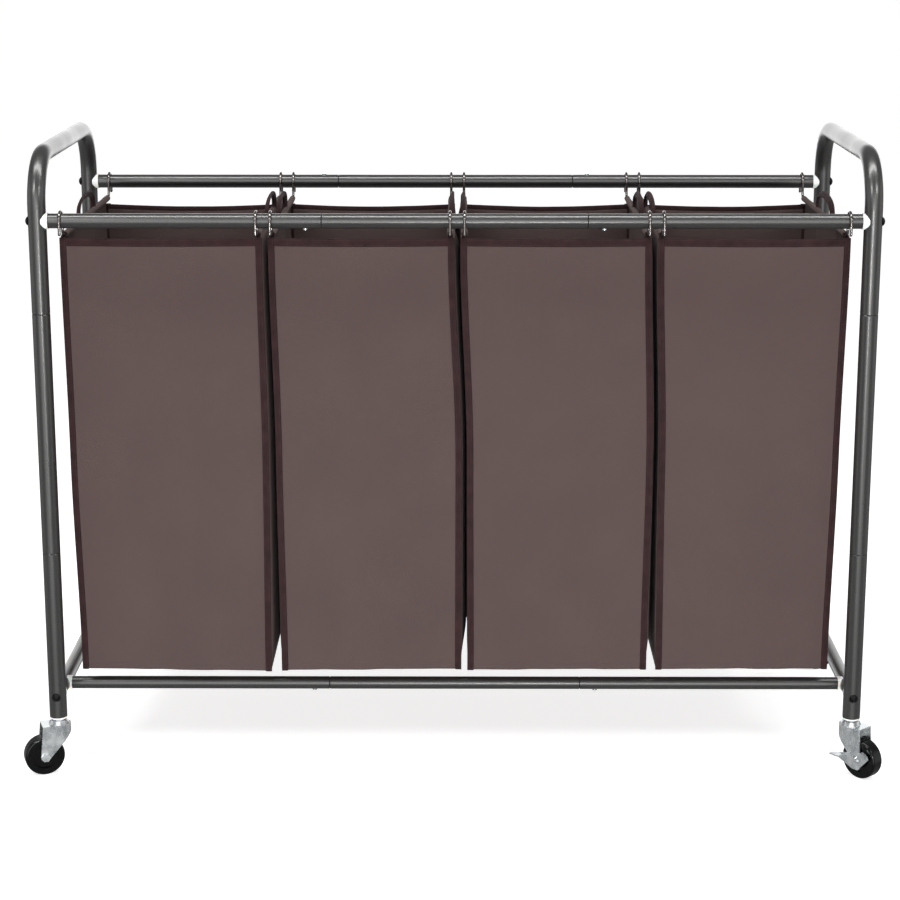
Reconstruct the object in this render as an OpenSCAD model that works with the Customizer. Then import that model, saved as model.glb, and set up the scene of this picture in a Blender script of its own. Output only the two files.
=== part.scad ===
// Rolling laundry sorter: a tube frame on four casters carries four fabric bags, which hang by
// wire hooks from the front and back top bars. X runs along the bars, Y from front to back and
// Z up. The origin lies on the floor, in the middle of the frame.

/* [Frame] */
// Distance between the left and right legs, centre to centre
leg_spacing = 1000; // [850:1:1250]
// Distance between the front and back legs, centre to centre
depth_spacing = 375; // [310:1:460]
// Height of the top of the push handles above the floor
frame_h = 789; // [770:1:960]
// Diameter of the leg and handle tube
leg_d = 22; // [18:0.5:27]
// Diameter of the top bars
top_bar_d = 18; // [15:0.5:20]
// Diameter of the lower long bars
lower_bar_d = 16; // [13:0.5:18]
// Diameter of the lower side tubes
side_tube_d = 18; // [15:0.5:20]
// Wall of every tube
tube_wall = 1; // [0.8:0.1:1.4]
// Centreline radius of the handle's bends
handle_r = 60; // [50:1:75]
// Height of the top bars' axes
top_bar_z = 703; // [680:1:705]
// Height of the side tubes' axes
side_tube_z = 102; // [100:1:125]
// Height of the legs' lower ends
leg_foot_z = 74; // [73.5:0.1:75]
// Height of the joint between the lower and the middle leg tubes
lower_joint_z = 290; // [240:1:350]
// Height of the joint between the middle leg tubes and the handles
upper_joint_z = 591; // [490:1:640]
// Distance of the lower long bars from the leg axes
lower_bar_inset = 45; // [40:1:55]
// Half the length of the middle piece of each long bar
bar_middle_half = 160; // [135:1:195]

/* [Fastenings] */
// Length of the narrowed end that each tube pushes into the next
spigot_len = 38; // [30:1:46]
// Length of the cone where a tube narrows
swage_len = 1.5; // [1:0.1:3]
// Radial play between a narrowed end and the tube around it
spigot_play = 0.05; // [0.02:0.01:0.1]
// Diameter of the frame bolts
bolt_d = 6; // [5:0.5:6]
// Length of the frame bolts under the head
bolt_len = 40; // [36:1:46]
// Diameter of the frame bolts' heads
bolt_head_d = 11; // [9:0.5:12]
// Thickness of a saddle spacer where it is thinnest
spacer_t = 2.2; // [1.5:0.1:4]
// Length of the threaded insert in a bar's end
insert_len = 16; // [14:1:20]
// Distance of the small joint screws from the joint
screw_offset = 19; // [14:1:24]
// Diameter of the small joint screws
screw_d = 3; // [2.5:0.5:4]

/* [Casters] */
// Diameter of the wheels
wheel_d = 50; // [46:1:52]
// Width of the wheels
wheel_w = 20; // [16:1:24]
// Distance of the axle behind the swivel axis
trail = 20; // [16:1:24]
// Diameter of the axles
axle_d = 6; // [5:0.5:8]
// Diameter of the caster stems
stem_d = 9.5; // [8:0.5:11]
// Thickness of the fork's sheet
fork_t = 2; // [1.5:0.1:2.5]
// Radial running clearance of axles and swivels
running_play = 0.05; // [0.02:0.01:0.1]

/* [Bags] */
// Gap between the hooks of neighbouring bags
hook_gap = 17.3; // [16:0.1:20]
// Gap between the end bags' hooks and the leg tubes
end_gap = 17; // [14:1:26]
// How much wider than the mean each bag hangs
bag_ease = [11, -8, -2, -1]; // [-12:1:12]
// Gap between the bags and the top bars they hang between
bag_bar_gap = 6.5; // [5:0.5:12]
// Depth of the front and back hems below the top bars' axes
hem_drop = 24; // [22:1:40]
// Gap between the bag floors and the lower long bars
bag_floor_gap = 20; // [6:1:60]
// Thickness of the bags' double fabric
fabric_t = 2; // [1:0.5:3]
// Diameter of the bags' hook wires
wire_d = 3.6; // [3:0.1:5]
// Play between a hook and the top bar
hook_play = 0.3; // [0.3:0.1:1]
// Length of a hook's tip below the bar's axis
hook_tip = 15; // [10:1:20]
// Distance between the two ends of a carry strap
strap_span = 110; // [80:1:150]
// Height of a carry strap's top above the rod's sleeve
strap_rise = 27; // [20:1:28]

/* [Hidden] */
$fn = 64;

FRAME_COLOR = "#4b4a47";
NYLON_COLOR = "#f2f1ec";
BLACK_COLOR = "#151516";
ZINC_COLOR = "#c6c9cb";
FABRIC_COLOR = "#675853";
STRAP_COLOR = "#3b2726";

LEFT = -1;
RIGHT = 1;
FRONT = -1;
BACK = 1;
half_w = leg_spacing / 2;
half_d = depth_spacing / 2;
cut = 1;                              // how far a cutting shape runs past what it cuts

// Frame
handle_axis_z = frame_h - leg_d / 2;
lower_bar_y = half_d - lower_bar_inset;
top_bar_end = half_w - leg_d / 2 - spacer_t;
lower_bar_end = half_w - side_tube_d / 2 - spacer_t;
side_tube_end = half_d - leg_d / 2 - spacer_t;
hole_play = 0.2;
insert_play = 0.05;
spacer_lip = 0.8;                     // how far a spacer stands out round its tube
bolt_head_h = 3;

// Casters
socket_flange_t = 2;
collar_h = 3.5;
raceway_h = 3.5;
stem_gap = 3;                         // between the stem's top and the bolt above it
neck_d = 8;
rivet_h = 2;
fork_gap = 0.5;                       // between the wheel's side and the fork's leg
fork_w = wheel_w + 2 * fork_gap + 2 * fork_t;
collar_bottom = leg_foot_z - socket_flange_t - collar_h;
plate_top = collar_bottom - raceway_h;
plate_front = 15;                     // reach of the fork's plate ahead of the swivel axis
apron_h = 9;                          // depth of the fork's skirt round its front
plate_back = 2;                       // reach of the fork's plate behind the axle
fork_end_r = 6;
fork_nose_x = fork_w / 2 - plate_front;   // where the fork's sides turn into its round nose
stem_top = side_tube_z - bolt_d / 2 - stem_gap;
lever_t = 1.6;
FRONT_LEFT_TURN = 200;
FRONT_RIGHT_TURN = -48;

// Bags
sleeve_play = 0.2;
sleeve_r = wire_d / 2 + sleeve_play + fabric_t;
hem_z = top_bar_z - hem_drop;
rod_z = hem_z + 4;
side_panel_z = rod_z - wire_d / 2;    // the side panels end inside their sleeves
bag_bottom_z = side_tube_z + lower_bar_d / 2 + bag_floor_gap;
bag_half_d = half_d - top_bar_d / 2 - bag_bar_gap;
row_w = leg_spacing - leg_d - 2 * end_gap;
ease_sum = bag_ease[0] + bag_ease[1] + bag_ease[2] + bag_ease[3];
mean_span = (row_w - 3 * hook_gap) / 4;
function span(i) = mean_span + bag_ease[i] - ease_sum / 4;
function rod_left(i) = i == 0 ? -row_w / 2 : rod_left(i - 1) + span(i - 1) + hook_gap;
function rod_right(i) = rod_left(i) + span(i);
hook_r = top_bar_d / 2 + hook_play + wire_d / 2;
elbow_r = 8;
strap_w = 20;
strap_t = 2.5;
strap_crown_w = 10;
strap_corner_r = 12;
strap_hold = 45;                      // length of a strap's end sewn to the side panel

// ---------------------------------------------------------------- tubes

// Turns a shape drawn in its own x-y plane so that x runs along Y and y runs up.
module upright() rotate([90, 0, 90]) children();

// Turns a shape drawn along Z so that it runs along X.
module along_x() rotate([0, 90, 0]) children();

// Turns a shape drawn along Z so that it runs along Y.
module along_y() rotate([-90, 0, 0]) children();

// A plain tube along Z.
module tube(d, l) {
  difference() {
    cylinder(d = d, h = l);
    translate([0, 0, -cut]) cylinder(d = d - 2 * tube_wall, h = l + 2 * cut);
  }
}

function spigot_d(d) = d - 2 * tube_wall - 2 * spigot_play;

// The narrowed end of a tube of diameter d, which starts at z = 0 with its cone.
module spigot(d) {
  difference() {
    union() {
      cylinder(d1 = d, d2 = spigot_d(d), h = swage_len);
      translate([0, 0, swage_len]) cylinder(d = spigot_d(d), h = spigot_len);
    }
    cylinder(d1 = d - 2 * tube_wall, d2 = spigot_d(d) - 2 * tube_wall, h = swage_len);
    translate([0, 0, -cut]) cylinder(d = spigot_d(d) - 2 * tube_wall, h = spigot_len + 2 * cut + swage_len);
  }
}

// A leg tube from z0 to z1, where the next tube starts, with its narrowed end above.
module leg_tube(z0, z1) {
  translate([0, 0, z0]) tube(leg_d, z1 - swage_len - z0);
  translate([0, 0, z1 - swage_len]) spigot(leg_d);
}

// The inverted U of a push handle, solid, with a tube of diameter d; drawn in the x-y plane.
module handle_bow(d, low) {
  for (side = [LEFT, RIGHT]) mirror([side == LEFT ? 1 : 0, 0, 0]) {
    translate([half_d, low, 0]) along_y() cylinder(d = d, h = handle_axis_z - handle_r - low);
    translate([half_d - handle_r, handle_axis_z - handle_r, 0])
      rotate_extrude(angle = 90) translate([handle_r, 0]) circle(d = d);
  }
  translate([handle_r - half_d, handle_axis_z, 0]) along_x()
    cylinder(d = d, h = 2 * (half_d - handle_r));
}

module handle(side) {
  color(FRAME_COLOR) difference() {
    translate([side * half_w, 0, 0]) upright() difference() {
      handle_bow(leg_d, upper_joint_z);
      handle_bow(leg_d - 2 * tube_wall, upper_joint_z - cut);
    }
    for (face = [FRONT, BACK])
      translate([side * half_w - leg_d, face * half_d, top_bar_z]) along_x()
        cylinder(d = bolt_d + 2 * hole_play, h = 2 * leg_d);
  }
}

module leg_middle(side, face) {
  color(FRAME_COLOR) translate([side * half_w, face * half_d, 0])
    leg_tube(lower_joint_z, upper_joint_z);
}

module leg_lower(side, face) {
  color(FRAME_COLOR) translate([side * half_w, face * half_d, 0]) difference() {
    leg_tube(leg_foot_z, lower_joint_z);
    translate([0, -leg_d, side_tube_z]) along_y() cylinder(d = bolt_d + 2 * hole_play, h = 2 * leg_d);
  }
}

module side_tube(side) {
  color(FRAME_COLOR) translate([side * half_w, 0, side_tube_z]) difference() {
    translate([0, -side_tube_end, 0]) along_y() tube(side_tube_d, 2 * side_tube_end);
    for (face = [FRONT, BACK]) translate([-leg_d, face * lower_bar_y, 0]) along_x()
      cylinder(d = bolt_d + 2 * hole_play, h = 2 * leg_d);
  }
}

// The middle piece of a long bar of diameter d, centred on the origin, narrowed at both ends.
module bar_middle(d, screw_up) {
  shoulder = bar_middle_half - swage_len;
  color(FRAME_COLOR) difference() {
    union() {
      translate([-shoulder, 0, 0]) along_x() tube(d, 2 * shoulder);
      for (side = [LEFT, RIGHT]) mirror([side == LEFT ? 1 : 0, 0, 0])
        translate([shoulder, 0, 0]) along_x() spigot(d);
    }
    joint_screw_holes(screw_up);
  }
}

// An outer piece of a long bar of diameter d, which ends at the distance end_x.
module bar_outer(d, side, end_x, screw_up) {
  color(FRAME_COLOR) difference() {
    mirror([side == LEFT ? 1 : 0, 0, 0]) translate([bar_middle_half, 0, 0]) along_x()
      tube(d, end_x - bar_middle_half);
    joint_screw_holes(screw_up);
  }
}

// Holes for the small screws, in one wall of the bar: the upper one or the lower one.
module joint_screw_holes(up) {
  for (side = [LEFT, RIGHT]) mirror([0, 0, up ? 0 : 1])
    translate([side * (bar_middle_half + screw_offset), 0, 0])
      cylinder(d = screw_d + hole_play, h = top_bar_d);
}

// Puts a bar's shapes in its place. The screws show on top of the back top bar and below the
// lower front one.
module at_top_bar(face) translate([0, face * half_d, top_bar_z]) children();
module at_lower_bar(face) translate([0, face * lower_bar_y, side_tube_z]) children();

// ---------------------------------------------------------------- fastenings

// A saddle spacer along X for a tube of diameter d, hugging an upright post at the origin.
module saddle(d, post_d) {
  difference() {
    translate([post_d / 4, 0, 0]) along_x()
      cylinder(d = d + 2 * spacer_lip, h = post_d / 4 + spacer_t);
    translate([0, 0, -d]) cylinder(d = post_d, h = 2 * d);
    along_x() cylinder(d = bolt_d + 2 * hole_play, h = 2 * post_d);
  }
}

// The spacers against the legs: at the ends of the top bars and of the side tubes.
module leg_spacers() {
  color(NYLON_COLOR) for (side = [LEFT, RIGHT], face = [FRONT, BACK])
    translate([side * half_w, face * half_d, 0]) {
      translate([0, 0, top_bar_z]) rotate([0, 0, side == LEFT ? 0 : 180])
        saddle(top_bar_d, leg_d);
      translate([0, 0, side_tube_z]) rotate([0, 0, -face * 90])
        saddle(side_tube_d, leg_d);
    }
}

// The spacers against the side tubes, at the ends of the lower long bars.
module side_tube_spacers() {
  color(NYLON_COLOR) for (side = [LEFT, RIGHT], face = [FRONT, BACK])
    translate([side * half_w, face * lower_bar_y, side_tube_z])
      rotate([90, 0, 0]) rotate([0, 0, side == LEFT ? 0 : 180])
        saddle(lower_bar_d, side_tube_d);
}

// A domed bolt along +X whose head bears at x = 0.
module bolt() {
  along_x() cylinder(d = bolt_d, h = bolt_len);
  intersection() {
    translate([-bolt_head_h, 0, 0]) along_x() cylinder(d = bolt_head_d, h = bolt_head_h);
    translate([bolt_head_d * 0.6 - bolt_head_h, 0, 0]) sphere(r = bolt_head_d * 0.62);
  }
}

// Puts a child, drawn along +X from the outside of a post of diameter post_d, at every
// bolted joint.
module at_bolts(reach_leg, reach_side) {
  for (side = [LEFT, RIGHT], face = [FRONT, BACK]) {
    translate([side * half_w, face * half_d, top_bar_z])
      rotate([0, 0, side == LEFT ? 0 : 180]) translate([reach_leg, 0, 0]) children();
    translate([side * half_w, face * half_d, side_tube_z])
      rotate([0, 0, -face * 90]) translate([reach_leg, 0, 0]) children();
    translate([side * half_w, face * lower_bar_y, side_tube_z])
      rotate([0, 0, side == LEFT ? 0 : 180]) translate([reach_side, 0, 0]) children();
  }
}

module frame_bolts() color(BLACK_COLOR) at_bolts(-leg_d / 2, -side_tube_d / 2) bolt();

// A threaded insert along +X for a tube of diameter d.
module insert(d) {
  difference() {
    along_x() cylinder(d = d - 2 * tube_wall - 2 * insert_play, h = insert_len);
    translate([-cut, 0, 0]) along_x() cylinder(d = bolt_d + 2 * insert_play, h = insert_len + 2 * cut);
  }
}

module threaded_inserts() {
  color(NYLON_COLOR) for (side = [LEFT, RIGHT], face = [FRONT, BACK]) {
    translate([side * top_bar_end, face * half_d, top_bar_z])
      rotate([0, 0, side == LEFT ? 0 : 180]) insert(top_bar_d);
    translate([side * half_w, face * side_tube_end, side_tube_z])
      rotate([0, 0, -face * 90]) insert(side_tube_d);
    translate([side * lower_bar_end, face * lower_bar_y, side_tube_z])
      rotate([0, 0, side == LEFT ? 0 : 180]) insert(lower_bar_d);
  }
}

// A small pan-head screw pointing down, whose head bears on a bar of diameter d.
module joint_screw(d) {
  head_h = 1.4;
  seat = sqrt(pow(d / 2, 2) - pow(screw_d, 2));
  difference() {
    union() {
      translate([0, 0, d / 2 - 4]) cylinder(d = screw_d, h = 4);
      translate([0, 0, seat]) cylinder(d = 2 * screw_d, h = d / 2 + head_h - seat);
    }
    translate([-d, 0, 0]) along_x() cylinder(d = d - 2 * tube_wall, h = 2 * d);
    saddle_cut(d);
  }
}

// The part of a bar of diameter d that a screw's head seats on.
module saddle_cut(d) {
  difference() {
    translate([-d, 0, 0]) along_x() cylinder(d = d, h = 2 * d);
    cylinder(d = screw_d + 2 * insert_play, h = d);
  }
}

module bar_screws() {
  color(ZINC_COLOR) for (side = [LEFT, RIGHT], face = [FRONT, BACK])
    translate([side * (bar_middle_half + screw_offset), 0, 0]) {
      at_top_bar(face) mirror([0, 0, face == BACK ? 0 : 1]) joint_screw(top_bar_d);
      at_lower_bar(face) mirror([0, 0, face == BACK ? 0 : 1]) joint_screw(lower_bar_d);
    }
}

// ---------------------------------------------------------------- casters

function turn(side, face) =
  side * face > 0 ? (side == LEFT ? FRONT_LEFT_TURN : FRONT_LEFT_TURN - 180)
                  : (side == RIGHT ? FRONT_RIGHT_TURN : FRONT_RIGHT_TURN + 180);

// A caster's own frame: its swivel axis is Z and its wheel trails along +X.
module at_caster(side, face)
  translate([side * half_w, face * half_d, 0]) rotate([0, 0, turn(side, face)]) children();

module caster_sockets() {
  color(NYLON_COLOR) for (side = [LEFT, RIGHT], face = [FRONT, BACK])
    translate([side * half_w, face * half_d, leg_foot_z]) difference() {
      union() {
        translate([0, 0, -socket_flange_t]) cylinder(d = leg_d - 0.6, h = socket_flange_t);
        cylinder(d = leg_d - 2 * tube_wall - 2 * insert_play, h = stem_top + 1 - leg_foot_z);
      }
      translate([0, 0, -socket_flange_t - cut])
        cylinder(d = stem_d + 2 * insert_play, h = stem_top - leg_foot_z + socket_flange_t + 2 * cut);
    }
}

// The fixed stem: pin, collar, and the riveted neck that the fork turns on.
module caster_stems() {
  neck_h = raceway_h + fork_t;
  color(ZINC_COLOR) for (side = [LEFT, RIGHT], face = [FRONT, BACK])
    translate([side * half_w, face * half_d, 0]) {
      translate([0, 0, collar_bottom]) cylinder(d = 17, h = collar_h);
      translate([0, 0, collar_bottom]) cylinder(d = stem_d, h = stem_top - collar_bottom);
      translate([0, 0, collar_bottom - neck_h]) cylinder(d = neck_d, h = neck_h);
      translate([0, 0, collar_bottom - neck_h - rivet_h - running_play])
        cylinder(d = 13, h = rivet_h);
      translate([0, 0, collar_bottom - neck_h - running_play - cut / 2])
        cylinder(d = neck_d, h = cut);
    }
}

// The fork's outline from above, round at its nose and square at its back, inset by a wall.
module fork_plan(inset = 0, past_end = 0) {
  translate([fork_nose_x, 0]) circle(d = fork_w - 2 * inset);
  translate([fork_nose_x, inset - fork_w / 2])
    square([trail + plate_back + past_end - fork_nose_x, fork_w - 2 * inset]);
}

// The fork's outline from the side: a skirt at the nose, from which both legs taper to the axle.
module fork_side() {
  polygon([
    [-plate_front - cut, plate_top], [-plate_front - cut, plate_top - apron_h],
    [trail - fork_end_r * 0.75, wheel_d / 2 - fork_end_r * 0.66],
    [trail + fork_end_r, wheel_d / 2], [trail + plate_back, plate_top]
  ]);
  translate([trail, wheel_d / 2]) circle(r = fork_end_r);
}

// The ball race: a cup on the fork's top, whose rim stands round the stem's collar.
module raceway() {
  rim_h = 1.2;
  translate([0, 0, plate_top]) difference() {
    cylinder(d1 = 25, d2 = 21.5, h = raceway_h + rim_h);
    translate([0, 0, raceway_h - running_play]) cylinder(d = 18.6, h = rim_h + 1);
  }
}

// One folded sheet: a skirt and two legs under a flat top, with the race on it.
module caster_fork(side, face) {
  color(ZINC_COLOR) at_caster(side, face) difference() {
    union() {
      intersection() {
        linear_extrude(plate_top) difference() {
          fork_plan(0, fork_end_r);
          fork_plan(fork_t, fork_end_r + cut);
        }
        translate([0, fork_w, 0]) rotate([90, 0, 0]) linear_extrude(2 * fork_w) fork_side();
      }
      translate([0, 0, plate_top - fork_t]) linear_extrude(fork_t) fork_plan();
      raceway();
    }
    translate([0, 0, plate_top - 2 * fork_t])
      cylinder(d = neck_d + 2 * running_play, h = raceway_h + 3 * fork_t);
    at_axle() cylinder(d = axle_d + 2 * insert_play, h = 2 * fork_w, center = true);
  }
}

// The wheel's half section, from the bore outwards: hub, dished web, rim and rounded tread.
module wheel_section() {
  bore_r = axle_d / 2 + running_play;
  rim_r = wheel_d / 2;
  edge = 3;
  difference() {
    union() {
      translate([bore_r, -wheel_w / 2]) square([7.5 - bore_r, wheel_w]);
      translate([bore_r, -wheel_w * 0.32]) square([rim_r - edge - bore_r, wheel_w * 0.64]);
      translate([rim_r - 9, -wheel_w / 2 + 1]) square([9 - edge, wheel_w - 2]);
      translate([rim_r - edge, -wheel_w / 2 + 1 + edge]) square([edge, wheel_w - 2 - 2 * edge]);
      for (flank = [-1, 1])
        translate([rim_r - edge, flank * (wheel_w / 2 - 1 - edge)]) circle(r = edge);
    }
    translate([-wheel_d, -wheel_w]) square([wheel_d + bore_r, 2 * wheel_w]);
  }
}

// Turns a shape drawn round Z onto the axle of a caster.
module at_axle() translate([trail, 0, wheel_d / 2]) rotate([90, 0, 0]) children();

module caster_wheel(side, face) {
  color(BLACK_COLOR) at_caster(side, face) at_axle() rotate_extrude() wheel_section();
}

// An axle bolt from the lever's side through both fork legs; braked casters need room for
// the lever under the head.
module caster_axle(side, face, braked) {
  head_h = 2.2;
  lever_room = braked ? lever_t + 2 * running_play : 0;
  start = -fork_w / 2;
  end = fork_w / 2 + lever_room;
  color(ZINC_COLOR) at_caster(side, face) at_axle() {
    translate([0, 0, start - 3.5]) cylinder(d = axle_d, h = end - start + 3.5);
    translate([0, 0, start - 3]) cylinder(d = 10 / cos(30), h = 3, $fn = 6);
    translate([0, 0, end]) cylinder(d1 = 11, d2 = 8, h = head_h);
  }
}

// The stamped brake lever, on the outside of the fork leg: a cam plate round the axle with a
// short wing to release it, and an arm towards the nose that ends in a flat pedal bent outwards.
module brake_lever(side, face) {
  cam_drop = 12;
  wing = [17, 10];
  arm_reach = 26;
  arm_w = 7;
  pedal_l = 14;
  pedal_out = 12;
  color(ZINC_COLOR) at_caster(side, face) at_axle()
    translate([0, 0, fork_w / 2 + running_play]) difference() {
      union() {
        linear_extrude(lever_t) polygon([
          [-arm_reach, arm_w / 2], [-axle_d, cam_drop - 3], wing, wing + [2, -4],
          [axle_d - 2, -cam_drop], [2 - axle_d, -cam_drop], [-arm_reach, -arm_w / 2]
        ]);
        translate([0, arm_w / 2, 0]) rotate([90, 0, 0]) linear_extrude(lever_t) polygon([
          [pedal_l / 2 - arm_reach, 0], [-arm_reach, 0],
          [-arm_reach - pedal_l / 2, pedal_out * 0.6], [-arm_reach - pedal_l / 2, pedal_out],
          [pedal_l / 2 - arm_reach, pedal_out]
        ]);
        translate(wing) rotate([0, 0, -30]) translate([-8, -lever_t, 0])
          cube([8, lever_t, pedal_out / 2]);
      }
      translate([0, 0, -cut]) cylinder(d = axle_d + 2 * running_play, h = lever_t + 2 * cut);
    }
}

// ---------------------------------------------------------------- bags

// An open fabric box, with a sleeve for a rod along the top of each side panel.
module bag_fabric(i) {
  x0 = rod_left(i) - sleeve_r;
  x1 = rod_right(i) + sleeve_r;
  sleeve_end = bag_half_d - 10;
  color(FABRIC_COLOR) difference() {
    union() {
      difference() {
        translate([x0, -bag_half_d, bag_bottom_z])
          cube([x1 - x0, 2 * bag_half_d, hem_z - bag_bottom_z]);
        translate([x0 + fabric_t, fabric_t - bag_half_d, bag_bottom_z + fabric_t])
          cube([x1 - x0 - 2 * fabric_t, 2 * (bag_half_d - fabric_t), hem_z - bag_bottom_z]);
      }
      for (x = [x0, x1 - fabric_t]) translate([x, -sleeve_end, hem_z - cut])
        cube([fabric_t, 2 * sleeve_end, side_panel_z - hem_z + cut]);
      for (x = [rod_left(i), rod_right(i)])
        translate([x, -sleeve_end, rod_z]) along_y() cylinder(r = sleeve_r, h = 2 * sleeve_end);
    }
    for (x = [rod_left(i), rod_right(i)])
      translate([x, -half_d, rod_z]) along_y()
        cylinder(d = wire_d + 2 * sleeve_play, h = 2 * half_d);
  }
}

// Half of a hook rod, drawn in the x-y plane: the run through the sleeve, the elbow up beside
// the bar, the hook over the bar, and its tip.
module half_rod() {
  inner = half_d - hook_r;
  translate([0, rod_z, 0]) along_x() cylinder(d = wire_d, h = inner - elbow_r);
  translate([inner - elbow_r, rod_z + elbow_r, 0]) rotate([0, 0, -90])
    rotate_extrude(angle = 90) translate([elbow_r, 0]) circle(d = wire_d);
  translate([inner, rod_z + elbow_r, 0]) along_y()
    cylinder(d = wire_d, h = top_bar_z - rod_z - elbow_r);
  translate([half_d, top_bar_z, 0]) rotate_extrude(angle = 180)
    translate([hook_r, 0]) circle(d = wire_d);
  translate([half_d + hook_r, top_bar_z - hook_tip, 0]) {
    along_y() cylinder(d = wire_d, h = hook_tip);
    sphere(d = wire_d);
  }
}

module bag_rods(i) {
  color(BLACK_COLOR) for (x = [rod_left(i), rod_right(i)]) translate([x, 0, 0]) upright()
    for (end = [0, 1]) mirror([end, 0, 0]) half_rod();
}

// The outline of a carry strap's crown, an inverted U, in the x-y plane.
module crown_outline(half, top, r) {
  for (end = [0, 1]) mirror([end, 0, 0]) {
    square([half, top - r]);
    translate([half - r, top - r]) circle(r = r);
    square([half - r, top]);
  }
}

// A carry strap on the outer face of a side panel: two sewn ends and the crown between them.
module strap() {
  foot_top = 2 * sleeve_r + 0.6;
  half = strap_span / 2;
  for (end = [-1, 1]) translate([0, end * half - strap_w / 2, -strap_hold])
    cube([strap_t, strap_w, strap_hold + foot_top]);
  translate([0, 0, foot_top - 0.5]) upright() linear_extrude(strap_crown_w) difference() {
    crown_outline(half + strap_t / 2, strap_rise - 0.1, strap_corner_r);
    translate([0, -cut])
      crown_outline(half - strap_t / 2, strap_rise - 0.1 - strap_t + cut, strap_corner_r - strap_t);
  }
}

module bag_straps(i) {
  color(STRAP_COLOR) {
    translate([rod_left(i) - sleeve_r - strap_t, 0, rod_z - sleeve_r]) strap();
    translate([rod_right(i) + sleeve_r + strap_t, 0, rod_z - sleeve_r])
      mirror([1, 0, 0]) strap();
  }
}

// ---------------------------------------------------------------- the assembly

handle(LEFT);  // handle_left
handle(RIGHT);  // handle_right
leg_middle(LEFT, FRONT);  // leg_middle_front_left
leg_middle(RIGHT, FRONT);  // leg_middle_front_right
leg_middle(LEFT, BACK);  // leg_middle_back_left
leg_middle(RIGHT, BACK);  // leg_middle_back_right
leg_lower(LEFT, FRONT);  // leg_lower_front_left
leg_lower(RIGHT, FRONT);  // leg_lower_front_right
leg_lower(LEFT, BACK);  // leg_lower_back_left
leg_lower(RIGHT, BACK);  // leg_lower_back_right
side_tube(LEFT);  // side_tube_left
side_tube(RIGHT);  // side_tube_right

at_top_bar(FRONT) bar_outer(top_bar_d, LEFT, top_bar_end, false);  // top_front_bar_left
at_top_bar(FRONT) bar_middle(top_bar_d, false);  // top_front_bar_middle
at_top_bar(FRONT) bar_outer(top_bar_d, RIGHT, top_bar_end, false);  // top_front_bar_right
at_top_bar(BACK) bar_outer(top_bar_d, LEFT, top_bar_end, true);  // top_back_bar_left
at_top_bar(BACK) bar_middle(top_bar_d, true);  // top_back_bar_middle
at_top_bar(BACK) bar_outer(top_bar_d, RIGHT, top_bar_end, true);  // top_back_bar_right

at_lower_bar(FRONT) bar_outer(lower_bar_d, LEFT, lower_bar_end, false);  // lower_front_bar_left
at_lower_bar(FRONT) bar_middle(lower_bar_d, false);  // lower_front_bar_middle
at_lower_bar(FRONT) bar_outer(lower_bar_d, RIGHT, lower_bar_end, false);  // lower_front_bar_right
at_lower_bar(BACK) bar_outer(lower_bar_d, LEFT, lower_bar_end, true);  // lower_back_bar_left
at_lower_bar(BACK) bar_middle(lower_bar_d, true);  // lower_back_bar_middle
at_lower_bar(BACK) bar_outer(lower_bar_d, RIGHT, lower_bar_end, true);  // lower_back_bar_right

leg_spacers();
side_tube_spacers();
frame_bolts();
bar_screws();
threaded_inserts();
caster_sockets();
caster_stems();

caster_fork(LEFT, FRONT);  // caster_fork_front_left
caster_fork(RIGHT, FRONT);  // caster_fork_front_right
caster_fork(LEFT, BACK);  // caster_fork_back_left
caster_fork(RIGHT, BACK);  // caster_fork_back_right
caster_wheel(LEFT, FRONT);  // caster_wheel_front_left
caster_wheel(RIGHT, FRONT);  // caster_wheel_front_right
caster_wheel(LEFT, BACK);  // caster_wheel_back_left
caster_wheel(RIGHT, BACK);  // caster_wheel_back_right
caster_axle(LEFT, FRONT, false);  // caster_axle_front_left
caster_axle(RIGHT, FRONT, true);  // caster_axle_front_right
caster_axle(LEFT, BACK, true);  // caster_axle_back_left
caster_axle(RIGHT, BACK, false);  // caster_axle_back_right
brake_lever(RIGHT, FRONT);  // brake_lever_front_right
brake_lever(LEFT, BACK);  // brake_lever_back_left

bag_fabric(0);  // bag_1_fabric
bag_fabric(1);  // bag_2_fabric
bag_fabric(2);  // bag_3_fabric
bag_fabric(3);  // bag_4_fabric
bag_rods(0);  // bag_1_rods
bag_rods(1);  // bag_2_rods
bag_rods(2);  // bag_3_rods
bag_rods(3);  // bag_4_rods
bag_straps(0);  // bag_1_straps
bag_straps(1);  // bag_2_straps
bag_straps(2);  // bag_3_straps
bag_straps(3);  // bag_4_straps
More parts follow.
